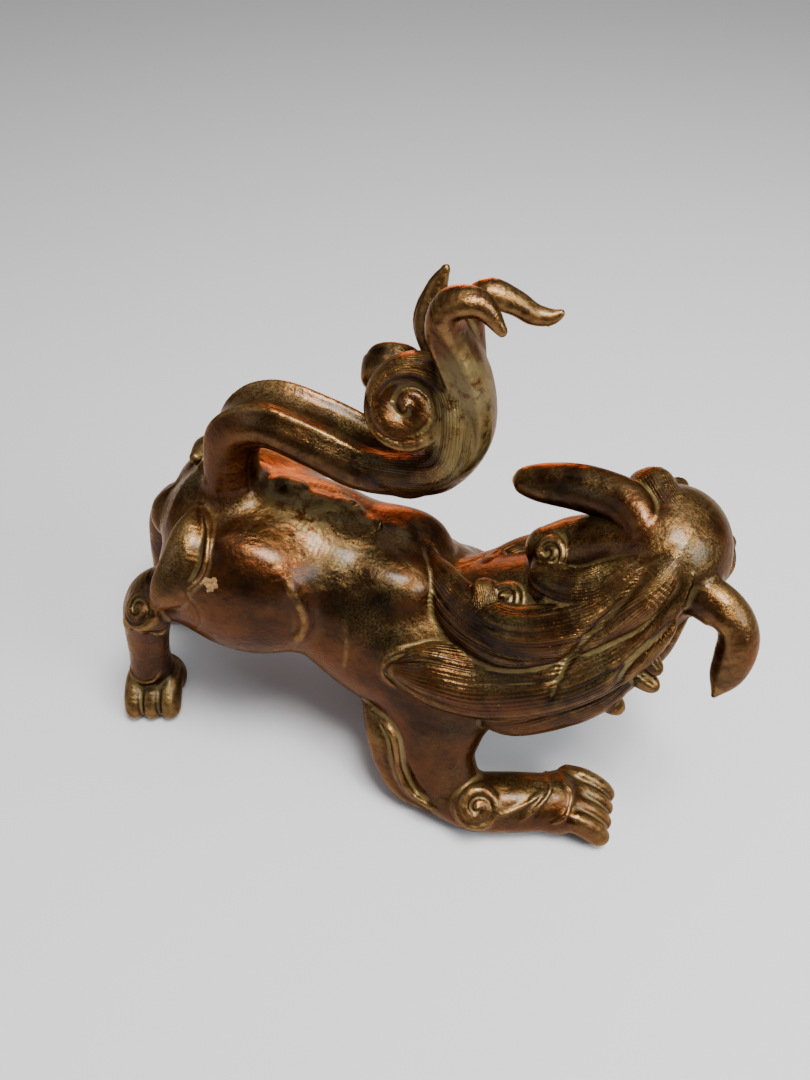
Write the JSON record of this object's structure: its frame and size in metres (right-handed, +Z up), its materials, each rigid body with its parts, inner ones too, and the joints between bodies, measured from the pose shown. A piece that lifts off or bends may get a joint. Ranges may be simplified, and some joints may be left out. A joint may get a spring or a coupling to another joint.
{
  "type": "foo dog statue",
  "caption": "Small cast bronze foo dog in a play bow, with a flowing mane, turned head and scrolled tail, for display on a flat surface.",
  "frame": {"origin": "centre of the statue's footprint box, on the surface that it stands on", "axes": "+X from the tail end to the head end, +Y to the dog's left, +Z up"},
  "size_m": [0.1565, 0.0733, 0.1267],
  "materials": {
    "patinated_bronze": "dark chestnut-brown patina, rubbed bright on the crowns, khaki verdigris in the carved lines",
    "eye_bronze": "polished brown bronze",
    "bare_bronze": "bare bronze, hidden in the joints"
  },
  "bodies": {
    "root": {"torso": "patinated_bronze", "core_plug": "bare_bronze", "neck": "patinated_bronze", "skull": "patinated_bronze", "muzzle": "patinated_bronze", "lower_jaw": "patinated_bronze", "tongue": "patinated_bronze", "teeth": "patinated_bronze", "nose": "patinated_bronze", "brow_right": "patinated_bronze", "brow_left": "patinated_bronze", "eye_right": "eye_bronze", "eye_left": "eye_bronze", "cheek_right": "patinated_bronze", "cheek_left": "patinated_bronze", "beard": "patinated_bronze", "ear_right": "patinated_bronze", "ear_left": "patinated_bronze", "haunch_right": "patinated_bronze", "haunch_left": "patinated_bronze", "hind_shank_right": "patinated_bronze", "hind_shank_left": "patinated_bronze", "hind_paw_right": "patinated_bronze", "hind_paw_left": "patinated_bronze", "hock_tuft_right": "patinated_bronze", "hock_tuft_left": "patinated_bronze", "rump_band_right": "patinated_bronze", "rump_band_left": "patinated_bronze", "upper_arm_right": "patinated_bronze", "upper_arm_left": "patinated_bronze", "forearm_right": "patinated_bronze", "forearm_left": "patinated_bronze", "forepaw_right": "patinated_bronze", "forepaw_left": "patinated_bronze", "elbow_tuft_right": "patinated_bronze", "elbow_tuft_left": "patinated_bronze", "tail_stem": "patinated_bronze", "tail_lobe_right": "patinated_bronze", "tail_lobe_left": "patinated_bronze", "tail_tip": "patinated_bronze", "tail_scroll_right": "patinated_bronze", "tail_scroll_left": "patinated_bronze", "mane_dome": "patinated_bronze", "mane_shoulder_right": "patinated_bronze", "mane_curl_right": "patinated_bronze", "mane_crown_right": "patinated_bronze", "mane_throat_right": "patinated_bronze", "mane_chest_right": "patinated_bronze", "mane_nape_right": "patinated_bronze", "mane_shoulder_left": "patinated_bronze", "mane_curl_left": "patinated_bronze", "mane_throat_left": "patinated_bronze", "mane_nape_left": "patinated_bronze", "tail_pin": "bare_bronze", "ear_pin_right": "bare_bronze", "ear_pin_left": "bare_bronze"}
  },
  "joints": []
}
